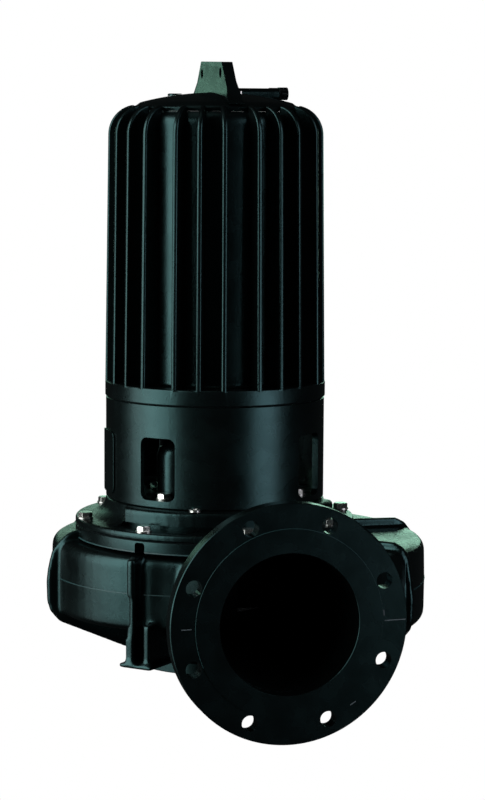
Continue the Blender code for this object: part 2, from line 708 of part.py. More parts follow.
def build_impeller():
    """Closed channel impeller with three vanes between its shrouds."""
    bore = 0.0203
    upper = [(bore, 0.0550), (0.145, 0.0550), (0.145, 0.0470), (0.060, 0.0440), (0.042, 0.0200), (0.038, -0.0150),
             (bore, -0.0150)]
    lower = [(0.076, -0.0540), (0.145, -0.0420), (0.145, -0.0490), (0.085, -0.0610), (0.085, -0.1180),
             (0.076, -0.1180)]
    impeller = turned("impeller", upper, iron, steps=40, closed=True)
    combine(impeller, turned("lower_shroud", lower, steps=40, closed=True), "UNION")
    height = 0.098
    for vane in range(3):
        frame = Matrix.Translation((0.0, 0.0, 0.001))
        plate = standing_plate("vane", vane_outline(120.0 * vane), height, frame)
        combine(impeller, plate, "UNION")
    return impeller


def build_pump():
    """Make every part of the pump."""
    build_motor_housing()
    build_motor_cover()
    build_lifting_lug()
    build_cable_entry()
    build_vent_plug()
    build_housing_seal()
    build_lantern()
    build_window_cover()
    build_end_shield()
    build_seal_housing()
    build_shaft()
    build_pump_cover()
    build_oil_plug()
    build_cover_gasket()
    build_volute_casing()
    build_discharge_flange()
    build_suction_ring()
    build_impeller()


clear_scene()
parts = make_collection("sewage_pump")
cutters = make_collection("cutters")
pump_axis = bpy.data.objects.new("pump_axis", None)
parts.objects.link(pump_axis)
pump_axis.location = (0.0, AXIS_SETBACK, -MOUNT_RISE)
paint = make_material("black_epoxy_paint", (0.016, 0.022, 0.024), 0.32, 0.0)
steel = make_material("stainless_steel", (0.55, 0.56, 0.56), 0.28, 1.0)
rubber = make_material("black_rubber", (0.010, 0.010, 0.011), 0.60, 0.0)
iron = make_material("cast_iron", (0.045, 0.045, 0.048), 0.55, 0.6)
build_pump()
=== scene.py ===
# %% [markdown]
# # A submersible sewage pump
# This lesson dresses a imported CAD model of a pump. The CAD frame stays where it is; each cell makes
# one casting or fastener around it, in metres, from the sizes of the real one.

# %% The frame
import json
import math

import bmesh
import bpy
from mathutils import Matrix, Vector

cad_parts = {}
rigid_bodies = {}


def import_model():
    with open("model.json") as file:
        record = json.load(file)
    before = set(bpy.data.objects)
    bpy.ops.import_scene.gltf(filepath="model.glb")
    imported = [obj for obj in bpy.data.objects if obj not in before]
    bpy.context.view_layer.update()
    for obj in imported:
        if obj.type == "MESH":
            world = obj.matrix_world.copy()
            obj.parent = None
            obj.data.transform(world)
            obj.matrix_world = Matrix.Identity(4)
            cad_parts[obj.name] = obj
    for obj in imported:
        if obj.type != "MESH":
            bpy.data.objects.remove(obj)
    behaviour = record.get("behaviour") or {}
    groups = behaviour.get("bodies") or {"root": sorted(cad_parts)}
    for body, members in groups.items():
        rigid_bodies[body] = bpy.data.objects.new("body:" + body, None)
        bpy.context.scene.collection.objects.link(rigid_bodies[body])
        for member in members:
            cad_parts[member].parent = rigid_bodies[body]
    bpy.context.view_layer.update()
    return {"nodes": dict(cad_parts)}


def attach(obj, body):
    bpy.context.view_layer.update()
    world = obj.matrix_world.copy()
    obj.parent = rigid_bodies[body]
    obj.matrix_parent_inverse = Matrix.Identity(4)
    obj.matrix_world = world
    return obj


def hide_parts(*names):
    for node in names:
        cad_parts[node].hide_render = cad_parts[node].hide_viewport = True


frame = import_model()

# %% [markdown]
# ## Where things are
# The row's origin lies on the discharge flange. A pump maker measures from the motor axis and from
# the level of the discharge instead, so every piece is modelled round its own motor axis and moved
# to PUMP at the end. Angles go round that axis from the discharge, and positive ones turn right.

# %% Places
PUMP = Vector((0.0, 0.434, -0.117))
FACE = -0.434
UP = Vector((0.0, 0.0, 1.0))
TO_RIGHT = Matrix.Rotation(math.radians(90), 4, "Y")
TO_FRONT = Matrix.Rotation(math.radians(90), 4, "X")


def spot(angle, radius, height):
    """Point at an angle, a radius and a height."""
    turn = math.radians(angle)
    return Vector((radius * math.sin(turn), -radius * math.cos(turn), height))


def radial(angle, sideways=0.0):
    """Frame of a plate standing in the radial plane: its x points outward and its y upward."""
    outward = spot(angle, 1.0, 0.0)
    across = outward.cross(UP)
    place = Matrix((outward, UP, across)).transposed().to_4x4()
    place.translation = -sideways * across
    return place


def facing(angle, radius, height=0.0):
    """Frame of an outline that looks outward: its x runs round the pump and its y upward."""
    outward = spot(angle, 1.0, 0.0)
    place = Matrix((UP.cross(outward), UP, outward)).transposed().to_4x4()
    place.translation = radius * outward + height * UP
    return place


print("motor axis at", tuple(round(c, 3) for c in PUMP))

# %% [markdown]
# ## Hand tools
# Modelling by hand needs five moves: draw a line by extruding a vertex, turn it like a lathe, fill it
# and thicken it like a plate, skin a row of rings, and round the edges that a casting never has
# sharp. An operator acts on all that is selected, so each move starts by deselecting everything.

# %% Drawing
SEED = 0.001
WELD = 1e-6


def start_clean():
    """Leave edit mode and deselect everything."""
    if bpy.context.mode != "OBJECT":
        bpy.ops.object.mode_set(mode="OBJECT")
    bpy.ops.object.select_all(action="DESELECT")


def pick(piece):
    """Select one object alone and make it active."""
    start_clean()
    piece.select_set(True)
    bpy.context.view_layer.objects.active = piece


def put(piece, place):
    """Move a piece's mesh by a matrix, so that its object stays at the origin."""
    pick(piece)
    piece.matrix_world = place
    bpy.ops.object.transform_apply()
    return piece


def draw(points):
    """In edit mode, draw a line from point to point by extruding a vertex, and leave it selected."""
    bpy.ops.mesh.select_all(action="DESELECT")
    bpy.ops.mesh.primitive_plane_add(size=SEED, location=(0.0, 0.0, 0.0))
    bpy.ops.mesh.merge(type="CENTER")
    bpy.ops.transform.translate(value=points[0])
    for before, after in zip(points, points[1:]):
        step = Vector(after) - Vector(before)
        bpy.ops.mesh.extrude_vertices_move(TRANSFORM_OT_translate={"value": step})
    bpy.ops.mesh.select_linked()


def start_piece(name):
    """Add an empty mesh by way of a primitive, and enter edit mode."""
    start_clean()
    bpy.ops.mesh.primitive_plane_add(size=SEED, location=(0.0, 0.0, 0.0))
    piece = bpy.context.object
    piece.name = piece.data.name = name
    bpy.ops.object.mode_set(mode="EDIT")
    bpy.ops.mesh.delete(type="VERT")
    return piece


def close_piece(piece, place=None):
    """Merge doubles, point the faces outward, leave edit mode and put the piece in place."""
    bpy.ops.mesh.select_all(action="SELECT")
    bpy.ops.mesh.remove_doubles(threshold=WELD)
    bpy.ops.mesh.normals_make_consistent(inside=False)
    bpy.ops.object.mode_set(mode="OBJECT")
    return put(piece, place) if place else piece


def lathe(name, profile, steps=96, place=None):
    """Turn a profile of (radius, height) points once round the vertical axis."""
    piece = start_piece(name)
    draw([(radius, 0.0, height) for radius, height in profile])
    bpy.ops.mesh.spin(steps=steps, angle=2 * math.pi, center=(0.0, 0.0, 0.0), axis=(0.0, 0.0, 1.0))
    return close_piece(piece, place)


def plate(name, outline, thickness, place=None):
    """Fill an outline and thicken it about its middle."""
    piece = start_piece(name)
    draw([(x, y, -0.5 * thickness) for x, y in outline + outline[:1]])
    bpy.ops.mesh.remove_doubles(threshold=WELD)
    bpy.ops.mesh.edge_face_add()
    bpy.ops.mesh.extrude_region_move(TRANSFORM_OT_translate={"value": (0.0, 0.0, thickness)})
    return close_piece(piece, place)


def skin(name, rings):
    """Draw a row of closed rings, bridge them in their order and fill both ends."""
    piece = start_piece(name)
    for ring in rings:
        draw(list(ring) + list(ring[:1]))
        bpy.ops.mesh.remove_doubles(threshold=WELD)
    bpy.ops.mesh.select_all(action="SELECT")
    bpy.ops.mesh.bridge_edge_loops()
    bpy.ops.mesh.select_all(action="SELECT")
    bpy.ops.mesh.fill_holes(sides=0)
    return close_piece(piece)


def rod(name, radius, start, end, steps=40):
    """A round bar from one point to another."""
    start, end = Vector(start), Vector(end)
    start_clean()
    bpy.ops.mesh.primitive_cylinder_add(vertices=steps, radius=radius, depth=(end - start).length)
    piece = bpy.context.object
    piece.name = piece.data.name = name
    place = (end - start).to_track_quat("Z", "Y").to_matrix().to_4x4()
    place.translation = 0.5 * (start + end)
    return put(piece, place)


# %% Outlines
def arc(centre, radius, start, end, steps):
    """Points of an arc in an outline, in degrees from its x axis."""
    points = []
    for step in range(steps + 1):
        angle = math.radians(start + (end - start) * step / steps)
        points.append((centre[0] + radius * math.cos(angle), centre[1] + radius * math.sin(angle)))
    return points


def block(near, far, first, second):
    """A rectangle between two values of x and two of y."""
    return [(near, first), (far, first), (far, second), (near, second)]


def window_shape(width, low, high, corner):
    """Outline of an upright opening with round corners."""
    half, top, foot = 0.5 * width - corner, high - corner, low + corner
    return (arc((half, top), corner, 0, 90, 5) + arc((-half, top), corner, 90, 180, 5)
            + arc((-half, foot), corner, 180, 270, 5) + arc((half, foot), corner, 270, 360, 5))


# %% Finishing moves
def bake(piece, kind, **settings):
    """Add a modifier with its settings and apply it."""
    pick(piece)
    modifier = piece.modifiers.new(kind.title(), kind)
    for key, value in settings.items():
        setattr(modifier, key, value)
    bpy.ops.object.modifier_apply(modifier=modifier.name)
    return piece


def soften(piece, width, segments=2, angle=50.0):
    """Round the edges that are sharper than an angle."""
    return bake(piece, "BEVEL", width=width, segments=segments, limit_method="ANGLE",
                angle_limit=math.radians(angle), miter_outer="MITER_ARC")


def merge(piece, operation, *tools):
    """Fuse tools with a piece, or cut them out of it, and throw the tools away."""
    for tool in tools:
        bake(piece, "BOOLEAN", operation=operation, object=tool, solver="MANIFOLD")
        bpy.data.objects.remove(tool, do_unlink=True)
    return piece


def join(piece, *others):
    """Put several meshes into one object, without changing them."""
    start_clean()
    for other in others:
        other.select_set(True)
    piece.select_set(True)
    bpy.context.view_layer.objects.active = piece
    bpy.ops.object.join()
    return piece


def melt(piece, voxel):
    """Remesh loosely joined solids in voxels and smooth them, as a sand mould rounds its corners."""
    bake(piece, "REMESH", mode="VOXEL", voxel_size=voxel)
    return bake(piece, "SMOOTH", factor=0.5, iterations=4)


def twin(piece, place):
    """Copy a piece with its own mesh, and move the copy by a matrix."""
    pick(piece)
    bpy.ops.object.duplicate()
    return put(bpy.context.object, place)


def deliver(piece, finish, slot, *nodes, smooth=35.0):
    """Move a finished piece to the pump, give it its finish, attach it to the frame and hide the nodes it
    replaces.
    """
    put(piece, Matrix.Translation(PUMP))
    bpy.ops.object.shade_smooth_by_angle(angle=math.radians(smooth))
    bake(piece, "WEIGHTED_NORMAL", keep_sharp=True)
    piece.data.materials.clear()
    piece.data.materials.append(finish)
    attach(piece, "root")
    if nodes:
        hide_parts(*nodes)
    print(f"{piece.name}: {len(piece.data.polygons)} faces")
    return piece


# %% [markdown]
# ## Epoxy paint
# The whole pump is cast iron under black two-pack epoxy, rolled or sprayed on rather thick. Its gloss
# is that of a satin plastic, IOR 1.5, and the sand of the mould still shows through as a grain of
# one to three millimetres. A picture of a casting would bring its own light along, so noise is used:
# it makes the grain, slow waves in the coat and faint runs of colour, and the softboxes do the rest.

# %% Node helpers
def linear(code):
    """Turn an sRGB hex colour into the linear values that Blender wants."""
    parts = [int(code[i:i + 2], 16) / 255 for i in (1, 3, 5)]
    return (*[c / 12.92 if c <= 0.04045 else ((c + 0.055) / 1.055) ** 2.4 for c in parts], 1.0)


def add_node(tree, kind, settings=None, **links):
    """Add a node, set its properties, and link or set its sockets by name."""
    node = tree.nodes.new("ShaderNode" + kind)
    for key, value in (settings or {}).items():
        setattr(node, key, value)
    for key, value in links.items():
        socket = node.inputs[key.replace("_", " ")]
        if isinstance(value, bpy.types.NodeSocket):
            tree.links.new(value, socket)
        else:
            socket.default_value = value
    return node


def new_finish(name):
    """Start a material, and return it with its tree and its shader."""
    finish = bpy.data.materials.new(name)
    finish.use_nodes = True
    return finish, finish.node_tree, finish.node_tree.nodes["Principled BSDF"]


def noise(tree, scale, detail, roughness):
    """A noise on Object coordinates, its scale in grains to the metre."""
    place = add_node(tree, "TexCoord").outputs["Object"]
    node = add_node(tree, "TexNoise", Vector=place, Scale=scale, Detail=detail, Roughness=roughness)
    return node.outputs["Fac"]


def ramp(tree, value, *stops):
    """A colour ramp between hex colours or grey values."""
    node = add_node(tree, "ValToRGB", Fac=value)
    elements = node.color_ramp.elements
    while len(elements) < len(stops):
        elements.new(0.5)
    for element, (position, colour) in zip(elements, stops):
        element.position = position
        element.color = linear(colour) if isinstance(colour, str) else (colour, colour, colour, 1.0)
    return node.outputs["Color"]


# %% Epoxy paint on castings
PAINT_IOR = 1.5
SHEEN_TINT = "#b4ffff"
WAVES = 28.0  # one in 36 mm, as a roller leaves them
RUNS = 9.0  # one in 110 mm
CAST_GRAIN = 0.0022
MACHINED_GRAIN = 0.0035


def epoxy(name, grain, relief, gloss):
    """Black epoxy over cast iron; grain in metres, relief as bump strength, gloss as roughness."""
    finish, tree, shader = new_finish(name)
    sand = noise(tree, 1.0 / grain, 3.0, 0.55)
    waves = noise(tree, WAVES, 2.0, 0.5)
    runs = noise(tree, RUNS, 4.0, 0.6)
    colour = ramp(tree, runs, (0.30, "#030404"), (0.70, "#070909"))
    tree.links.new(colour, shader.inputs["Base Color"])
    rough = ramp(tree, waves, (0.25, gloss - 0.04), (0.75, gloss + 0.05))
    tree.links.new(rough, shader.inputs["Roughness"])
    shader.inputs["IOR"].default_value = PAINT_IOR
    shader.inputs["Specular Tint"].default_value = linear(SHEEN_TINT)
    low = add_node(tree, "Bump", Strength=0.35 * relief, Distance=0.0016, Height=waves)
    fine = add_node(tree, "Bump", Strength=relief, Distance=0.0004, Height=sand,
                    Normal=low.outputs["Normal"])
    tree.links.new(fine.outputs["Normal"], shader.inputs["Normal"])
    return finish


CAST_PAINT = epoxy("black_epoxy_on_sand_casting", CAST_GRAIN, 0.50, 0.27)
SMOOTH_PAINT = epoxy("black_epoxy_on_machined_iron", MACHINED_GRAIN, 0.20, 0.26)
print("paint:", CAST_PAINT.name, SMOOTH_PAINT.name)

# %% [markdown]
# ## Painted highlights and rubbed paint
# A cast seam, the bead under the rim and the step of the raised face catch the light along their thin
# edges, and that highlight is painted into them as a lighter colour. Where something rubbed the paint
# through, bare primer shows. Such a line is under a millimetre wide, and no pattern would be seen in
# it. So each is an even coat of one colour: the painted highlight still glossy, the rubbed paint dull.

# %% Painted highlight and rubbed paint
def even_coat(name, colour, roughness):
    """A coat of one colour, for a line too thin to show a pattern."""
    finish, _, shader = new_finish(name)
    shader.inputs["Base Color"].default_value = linear(colour)
    shader.inputs["Roughness"].default_value = roughness
    return finish


# Lighter teal for the seam, the rim bead and the raised face's step: a painted highlight for the light their
# thin edges catch.
PAINTED_HIGHLIGHT = even_coat("painted_highlight_coat", "#2b4a4b", 0.4)
SCAR = even_coat("rubbed_paint", "#5f6a6d", 0.5)
print("painted highlight and rubbed paint:", PAINTED_HIGHLIGHT.name, SCAR.name)

# %% [markdown]
# ## Metals and rubber
# The screws are bright stainless steel, cold-headed and a little scratched. The cable gland is
# blackened steel, the seals are nitrile rubber and the impeller is bare iron. A metal takes its
# colour in the shader with the default IOR. Fine noise gives the steels their scratches and wear,
# the rubber its bloom and the iron its sand, where a picture would show its own edges.

# %% Stainless steel, rubber and bare iron
SCRATCHES = 900.0  # one a millimetre; real ones are finer and wouldn't show
BLOOM = 240.0  # patches of 4 mm
IRON_SAND = 420.0  # grains of 2.4 mm, coarser than real ones so that they show
WEAR = 160.0  # patches of 6 mm


def stainless():
    """Bright A2 fasteners: cold-headed steel, with fine scratches."""
    finish, tree, shader = new_finish("stainless_fastener")
    shader.inputs["Metallic"].default_value = 1.0
    shader.inputs["Base Color"].default_value = linear("#d6d6d0")
    rough = ramp(tree, noise(tree, SCRATCHES, 2.0, 0.6), (0.3, 0.20), (0.7, 0.36))
    tree.links.new(rough, shader.inputs["Roughness"])
    return finish


def nitrile():
    """Black nitrile rubber: matt, with a soft bloom."""
    finish, tree, shader = new_finish("nitrile_rubber")
    colour = ramp(tree, noise(tree, BLOOM, 3.0, 0.6), (0.3, "#0c0d0e"), (0.7, "#151617"))
    tree.links.new(colour, shader.inputs["Base Color"])
    shader.inputs["Roughness"].default_value = 0.70
    shader.inputs["Specular IOR Level"].default_value = 0.12
    shader.inputs["Specular Tint"].default_value = linear(SHEEN_TINT)
    return finish


def bare_iron():
    """Grey iron as cast: dull, dark and grainy."""
    finish, tree, shader = new_finish("grey_cast_iron")
    sand = noise(tree, IRON_SAND, 4.0, 0.6)
    colour = ramp(tree, sand, (0.3, "#26282a"), (0.7, "#3a3c3d"))
    tree.links.new(colour, shader.inputs["Base Color"])
    shader.inputs["Metallic"].default_value = 0.6
    shader.inputs["Roughness"].default_value = 0.55
    bump = add_node(tree, "Bump", Strength=0.6, Distance=0.0005, Height=sand)
    tree.links.new(bump.outputs["Normal"], shader.inputs["Normal"])
    return finish


def blackened():
    """Blackened steel of the cable gland: a dark metal with a dull shine."""
    finish, tree, shader = new_finish("blackened_steel")
    colour = ramp(tree, noise(tree, WEAR, 3.0, 0.6), (0.45, "#1d2222"), (0.75, "#59605f"))
    tree.links.new(colour, shader.inputs["Base Color"])
    shader.inputs["Metallic"].default_value = 1.0
    shader.inputs["Roughness"].default_value = 0.34
    return finish


STEEL = stainless()
BLACK_STEEL = blackened()
RUBBER = nitrile()
IRON = bare_iron()
for node, finish in (("shaft", STEEL), ("impeller", IRON), ("housing_seal", RUBBER),
                     ("cover_gasket", RUBBER), ("gland_seal", RUBBER), ("lower_end_shield", CAST_PAINT)):
    frame["nodes"][node].material_slots[0].material = finish
    print(f"{node}: {finish.name}")

# %% [markdown]
# ## Motor housing
# The jacket is one casting: a plain barrel with a ring at its foot and 24 cooling fins in eight groups
# of three, so that every 45 degrees a wider channel is left. The barrel is turned. One fin is drawn
# as a plate in its radial plane, its edges are rounded, and copies of it are fused to the barrel.

# %% Motor housing
JOINT = 0.0003
RING_TOP = 0.2960
RING_FOOT = 0.2724
RING_RADIUS = 0.1686
RING_ROUND = 0.0030
RING_BREAK = 0.0010
BARREL_RADIUS = 0.1340
BARREL_SHOULDER = 0.0240
BARREL_FILLET = 0.0070
CAP_RADIUS = 0.1250
CAP_FOOT = 0.7040
SHOULDER = 0.0450
SHOULDER_LEVEL = 0.6685
FIN_TOP_RADIUS = 0.1637
FIN_THICKNESS = 0.0080
FIN_ROUND = 0.0030
FIN_SINK = 0.0120
FIN_FOOT_SINK = 0.0060
FIN_GROUPS = 8
FIN_STEP = 13.1


def make_motor_housing():
    """Barrel, ring and fins in one piece."""
    top = CAP_FOOT - JOINT
    barrel = [(0.0, top), (0.1235, top)]
    barrel += arc((BARREL_RADIUS - BARREL_SHOULDER, top - 0.020), BARREL_SHOULDER, 55, 0, 6)
    barrel += arc((BARREL_RADIUS + BARREL_FILLET, RING_TOP + BARREL_FILLET), BARREL_FILLET, 180, 270, 4)
    barrel += arc((RING_RADIUS - RING_ROUND, RING_TOP - RING_ROUND), RING_ROUND, 90, 0, 3)
    barrel += [(RING_RADIUS, RING_FOOT + RING_BREAK), (RING_RADIUS - RING_BREAK, RING_FOOT),
               (0.0, RING_FOOT)]
    housing = lathe("motor_jacket", barrel, 144)

    rim, root, foot = CAP_RADIUS + 2 * JOINT, BARREL_RADIUS - FIN_SINK, RING_TOP - FIN_FOOT_SINK
    corner = (FIN_TOP_RADIUS - SHOULDER, SHOULDER_LEVEL)
    last = math.degrees(math.acos((rim - corner[0]) / SHOULDER))
    outline = [(RING_RADIUS, foot)] + arc(corner, SHOULDER, 0, last, 14)
    outline += [(rim, CAP_FOOT - 0.007), (root, CAP_FOOT - 0.013), (root, foot)]
    fin = soften(plate("fin", outline, FIN_THICKNESS), FIN_ROUND, 3)
    angles = [360 / FIN_GROUPS * (group + 0.5) + FIN_STEP * side
              for group in range(FIN_GROUPS) for side in (-1, 0, 1)]
    fins = [twin(fin, radial(angle)) for angle in angles]
    bpy.data.objects.remove(fin, do_unlink=True)
    merge(housing, "UNION", join(*fins))
    return deliver(housing, CAST_PAINT, "paint", "motor_housing", smooth=40)


make_motor_housing()

# %% [markdown]
# ## Dome
# The motor's cover is a shallow dome. A squashed ball would do, but a turned profile gives the true
# sphere and a soft rim, and it also makes the tool that seats the lug and the cable entry.

# %% Dome
DOME_CROWN = 0.7320
DOME_EDGE = 0.7140
DOME_ROUND = 0.0075
DOME_STEPS = 16
DROP = DOME_CROWN - DOME_EDGE
DOME_SPHERE = (CAP_RADIUS ** 2 + DROP ** 2) / (2 * DROP)


def dome(radius, lift=0.0):
    """Height of the dome's surface at a radius."""
    return DOME_CROWN - DOME_SPHERE + math.sqrt(DOME_SPHERE ** 2 - radius ** 2) + lift


def dome_top(reach, lift=0.0):
    """The dome's profile from its crown outward."""
    return [(reach * i / DOME_STEPS, dome(reach * i / DOME_STEPS, lift)) for i in range(DOME_STEPS + 1)]


def dome_tool():
    """A solid dome with the joint gap, to seat what stands on it."""
    side, foot = CAP_RADIUS + JOINT, CAP_FOOT - 0.01
    return lathe("dome_tool", dome_top(CAP_RADIUS, JOINT) + [(side, DOME_EDGE), (side, foot), (0.0, foot)])


def make_dome():
    """Turned dome with a soft rim."""
    rim = arc((CAP_RADIUS - DOME_ROUND, DOME_EDGE - 0.0080), DOME_ROUND, 68, 20, 5)
    rim += [(CAP_RADIUS - 0.0022, CAP_FOOT), (0.0, CAP_FOOT)]
    cover = lathe("motor_dome", dome_top(CAP_RADIUS - 0.010) + rim, 128)
    return deliver(cover, CAST_PAINT, "paint", "motor_cover")


make_dome()

# %% [markdown]
# ## Lifting lug
# The lug is a cast plate across the dome with an eye near each end. Its outline is drawn and
# thickened, its foot is cut with the dome, and only the low vertices are then spread sideways,
# because the real one is thicker where it meets the dome.

# %% Lifting lug
LUG_TOP = 0.7770
LUG_CORNER = 0.0620
LUG_ROUND = 0.0050
LUG_THICKNESS = 0.0170
LUG_FOOT_LEVEL = 0.7360
LUG_FOOT_SPREAD = 1.30
EYE_OFFSET = 0.0575
EYE_HEIGHT = 0.7610
EYE_RADIUS = 0.0075


def make_lug():
    """Plate with flared ends, thicker at its foot, with two eyes."""
    side = [(0.1245, 0.7085), (0.1240, 0.7150), (0.1200, 0.7172), (0.1145, 0.7200), (0.1080, 0.7265),
            (0.0980, 0.7370)]
    near = side + arc((LUG_CORNER, LUG_TOP - LUG_ROUND), LUG_ROUND, 20, 90, 4)
    far = side + arc((LUG_CORNER, LUG_TOP - 0.0023), LUG_ROUND, 20, 90, 4)
    outline = near + [(-y, z) for y, z in reversed(far)]
    lug = plate("lifting_plate", outline, LUG_THICKNESS, radial(0.0))
    merge(lug, "DIFFERENCE", dome_tool())
    pick(lug)
    bpy.ops.object.mode_set(mode="EDIT")
    bpy.ops.mesh.select_mode(type="VERT")
    bpy.ops.mesh.select_all(action="DESELECT")
    mesh = bmesh.from_edit_mesh(lug.data)
    for vertex in mesh.verts:
        vertex.select = vertex.co.z < LUG_FOOT_LEVEL
    mesh.select_flush(True)
    bmesh.update_edit_mesh(lug.data)
    bpy.ops.transform.resize(value=(LUG_FOOT_SPREAD, 1.0, 1.0), center_override=(0.0, 0.0, 0.0))
    bpy.ops.object.mode_set(mode="OBJECT")
    for y in (-EYE_OFFSET, EYE_OFFSET):
        merge(lug, "DIFFERENCE", rod("eye", EYE_RADIUS, (-0.03, y, EYE_HEIGHT), (0.03, y, EYE_HEIGHT)))
    soften(lug, 0.0022, 3)
    return deliver(lug, CAST_PAINT, "paint", "lifting_lug", smooth=40)


make_lug()

# %% [markdown]
# ## Cable entry and gland
# The cable leaves through a short pipe that lies on a saddle of the dome and ends in a hexagon. The
# pipe is turned and laid down, and the saddle is a plate fused to it. A six-sided cylinder is no nut
# yet: real hexagons have their corners turned off, so a lathe-made cone is intersected with it.

# %% Cable entry
ENTRY_Y = 0.0250
ENTRY_HEIGHT = 0.7300
PIPE_RADIUS = 0.0092
COLLAR_RADIUS = 0.0100


def make_cable_entry():
    """Pipe on a saddle, from the lug to the gland."""
    profile = [(0.0, 0.104), (PIPE_RADIUS, 0.104), (COLLAR_RADIUS, 0.1032), (COLLAR_RADIUS, 0.090),
               (PIPE_RADIUS, 0.0885), (PIPE_RADIUS, 0.034), (COLLAR_RADIUS, 0.032),
               (COLLAR_RADIUS, 0.0125), (0.0, 0.0125)]
    pipe = lathe("cable_pipe", profile, 48, Matrix.Translation((0.0, ENTRY_Y, ENTRY_HEIGHT)) @ TO_RIGHT)
    saddle = plate("saddle", block(-0.0085, 0.0085, -0.020, 0.0), 0.078,
                   facing(90.0, 0.0545, ENTRY_HEIGHT) @ Matrix.Translation((ENTRY_Y, 0.0, 0.0)))
    merge(pipe, "UNION", soften(saddle, 0.002))
    merge(pipe, "DIFFERENCE", dome_tool())
    return deliver(pipe, SMOOTH_PAINT, "paint", "cable_entry")


make_cable_entry()

# %% Gland
CHAMFER = 0.12
GLAND_ACROSS = 0.0194
GLAND_LENGTH = 0.0140


def hexagon(name, across, height):
    """Hexagon of a nut or a bolt head standing on z = 0, with its top corners turned off."""
    corner, flat = across / math.sqrt(3), 0.5 * across
    start_clean()
    bpy.ops.mesh.primitive_cylinder_add(vertices=6, radius=corner, depth=height,
                                        location=(0.0, 0.0, 0.5 * height))
    head = bpy.context.object
    head.name = head.data.name = name
    bpy.ops.object.transform_apply()
    cone = lathe("chamfer", [(0.0, height), (0.96 * flat, height),
                             (corner + 0.001, height - CHAMFER * across), (corner + 0.001, -0.001),
                             (0.0, -0.001)], 48)
    merge(head, "INTERSECT", cone)
    return soften(head, 0.0003, 1, 25)


def make_gland():
    """Hexagon at the end of the cable entry, with a bore for its rubber seal."""
    nut = hexagon("gland_hexagon", GLAND_ACROSS, GLAND_LENGTH)
    merge(nut, "DIFFERENCE", rod("bore", 0.0075, (0.0, 0.0, 0.003), (0.0, 0.0, 0.02), 32))
    put(nut, Matrix.Translation((0.1043, ENTRY_Y, ENTRY_HEIGHT + 0.001)) @ TO_RIGHT)
    return deliver(nut, BLACK_STEEL, "steel", "gland_nut", smooth=30)


make_gland()

# %% [markdown]
# ## Plug and screw on the dome
# A round plug with a driver's slot closes the vent on the left, and a small bright screw stands by
# the lug. Both are turned, and the plug's underside is cut with the dome so that it sits flush.

# %% Plug and screw on the dome
PLUG_REACH = 0.0625


def make_plug():
    """Round plug with a slot, seated on the dome."""
    plug = lathe("dome_plug", [(0.0, 0.0026), (0.0095, 0.0026), (0.0112, 0.0016), (0.0115, -0.006),
                               (0.0, -0.006)], 40)
    merge(plug, "DIFFERENCE", plate("slot", block(-0.02, 0.02, -0.001, 0.001), 0.003,
                                    Matrix.Translation((0.0, 0.0, 0.0028))))
    put(plug, Matrix.Translation(spot(-104.0, PLUG_REACH, dome(PLUG_REACH))))
    merge(plug, "DIFFERENCE", dome_tool())
    return deliver(plug, CAST_PAINT, "paint", "vent_plug")


make_plug()
grub = lathe("dome_screw", [(0.0, 0.0042), (0.0034, 0.0042), (0.0042, 0.0034), (0.0042, -0.003),
                            (0.0, -0.003)], 24, Matrix.Translation((0.035, -0.0075, dome(0.036))))
deliver(grub, STEEL, "steel")

# %% [markdown]
# ## Lantern
# The lantern is a turned housing with five windows milled through its wall. The left one is closed by
# a curved plate. The wall is turned first; each window is a plate with round corners that is cut
# through it, and the edges are then rounded as the casting's are.

# %% Lantern
LANTERN_RADIUS = 0.1674
LANTERN_WALL = 0.0100
LANTERN_BREAK = 0.0012
LANTERN_FOOT, LANTERN_HEAD = 0.1174, 0.2710
HEAD_BORE, FOOT_BORE = 0.130, 0.101
WINDOW_LOW, WINDOW_HIGH = 0.1280, 0.2220
WINDOW_WIDTH = 0.060
WINDOW_CORNER = 0.011
WINDOW_CUT = 0.040


def make_lantern():
    """Wall with a flange inside each end and five windows."""
    inner, edge = LANTERN_RADIUS - LANTERN_WALL, LANTERN_RADIUS - LANTERN_BREAK
    profile = [(HEAD_BORE, LANTERN_HEAD), (edge, LANTERN_HEAD),
               (LANTERN_RADIUS, LANTERN_HEAD - LANTERN_BREAK),
               (LANTERN_RADIUS, LANTERN_FOOT + LANTERN_BREAK), (edge, LANTERN_FOOT),
               (FOOT_BORE, LANTERN_FOOT), (FOOT_BORE, 0.1276), (inner, 0.1276),
               (inner, LANTERN_HEAD - 0.010), (HEAD_BORE, LANTERN_HEAD - 0.010), (HEAD_BORE, LANTERN_HEAD)]
    lantern = lathe("lantern_housing", profile, 96)
    shape = window_shape(WINDOW_WIDTH, WINDOW_LOW, WINDOW_HIGH, WINDOW_CORNER)
    for angle in (-135, -90, -45, 45, 135):
        merge(lantern, "DIFFERENCE", plate("window", shape, WINDOW_CUT, facing(angle, LANTERN_RADIUS)))
    bake(lantern, "BEVEL", width=0.0016, segments=2, limit_method="ANGLE", angle_limit=math.radians(50))
    return deliver(lantern, CAST_PAINT, "paint", "lantern", smooth=40)


make_lantern()

# %% [markdown]
# ## Window cover
# The cover is a sheet bent to the lantern's curve. Bending a flat plate would stretch its corners, so
# a thin pipe is turned and only what lies within the cover's outline is kept of it.

# %% Window cover
SHEET_INSIDE, SHEET_OUTSIDE = 0.1677, 0.1702
sheet = lathe("window_plate", [(SHEET_INSIDE, 0.232), (SHEET_OUTSIDE, 0.232), (SHEET_OUTSIDE, 0.118),
                               (SHEET_INSIDE, 0.118), (SHEET_INSIDE, 0.232)], 144)
merge(sheet, "INTERSECT", plate("edge", window_shape(0.068, 0.1275, 0.2220, WINDOW_CORNER), WINDOW_CUT,
                                facing(-90, LANTERN_RADIUS)))
soften(sheet, 0.0008)
deliver(sheet, CAST_PAINT, "paint", "window_cover", smooth=40)

# %% [markdown]
# ## Seal housing
# Through the windows one sees the round housing of the shaft seals, with a boss in front of it. Both
# are turned on their own axes and fused, because a boss is a stub that the pattern maker adds.

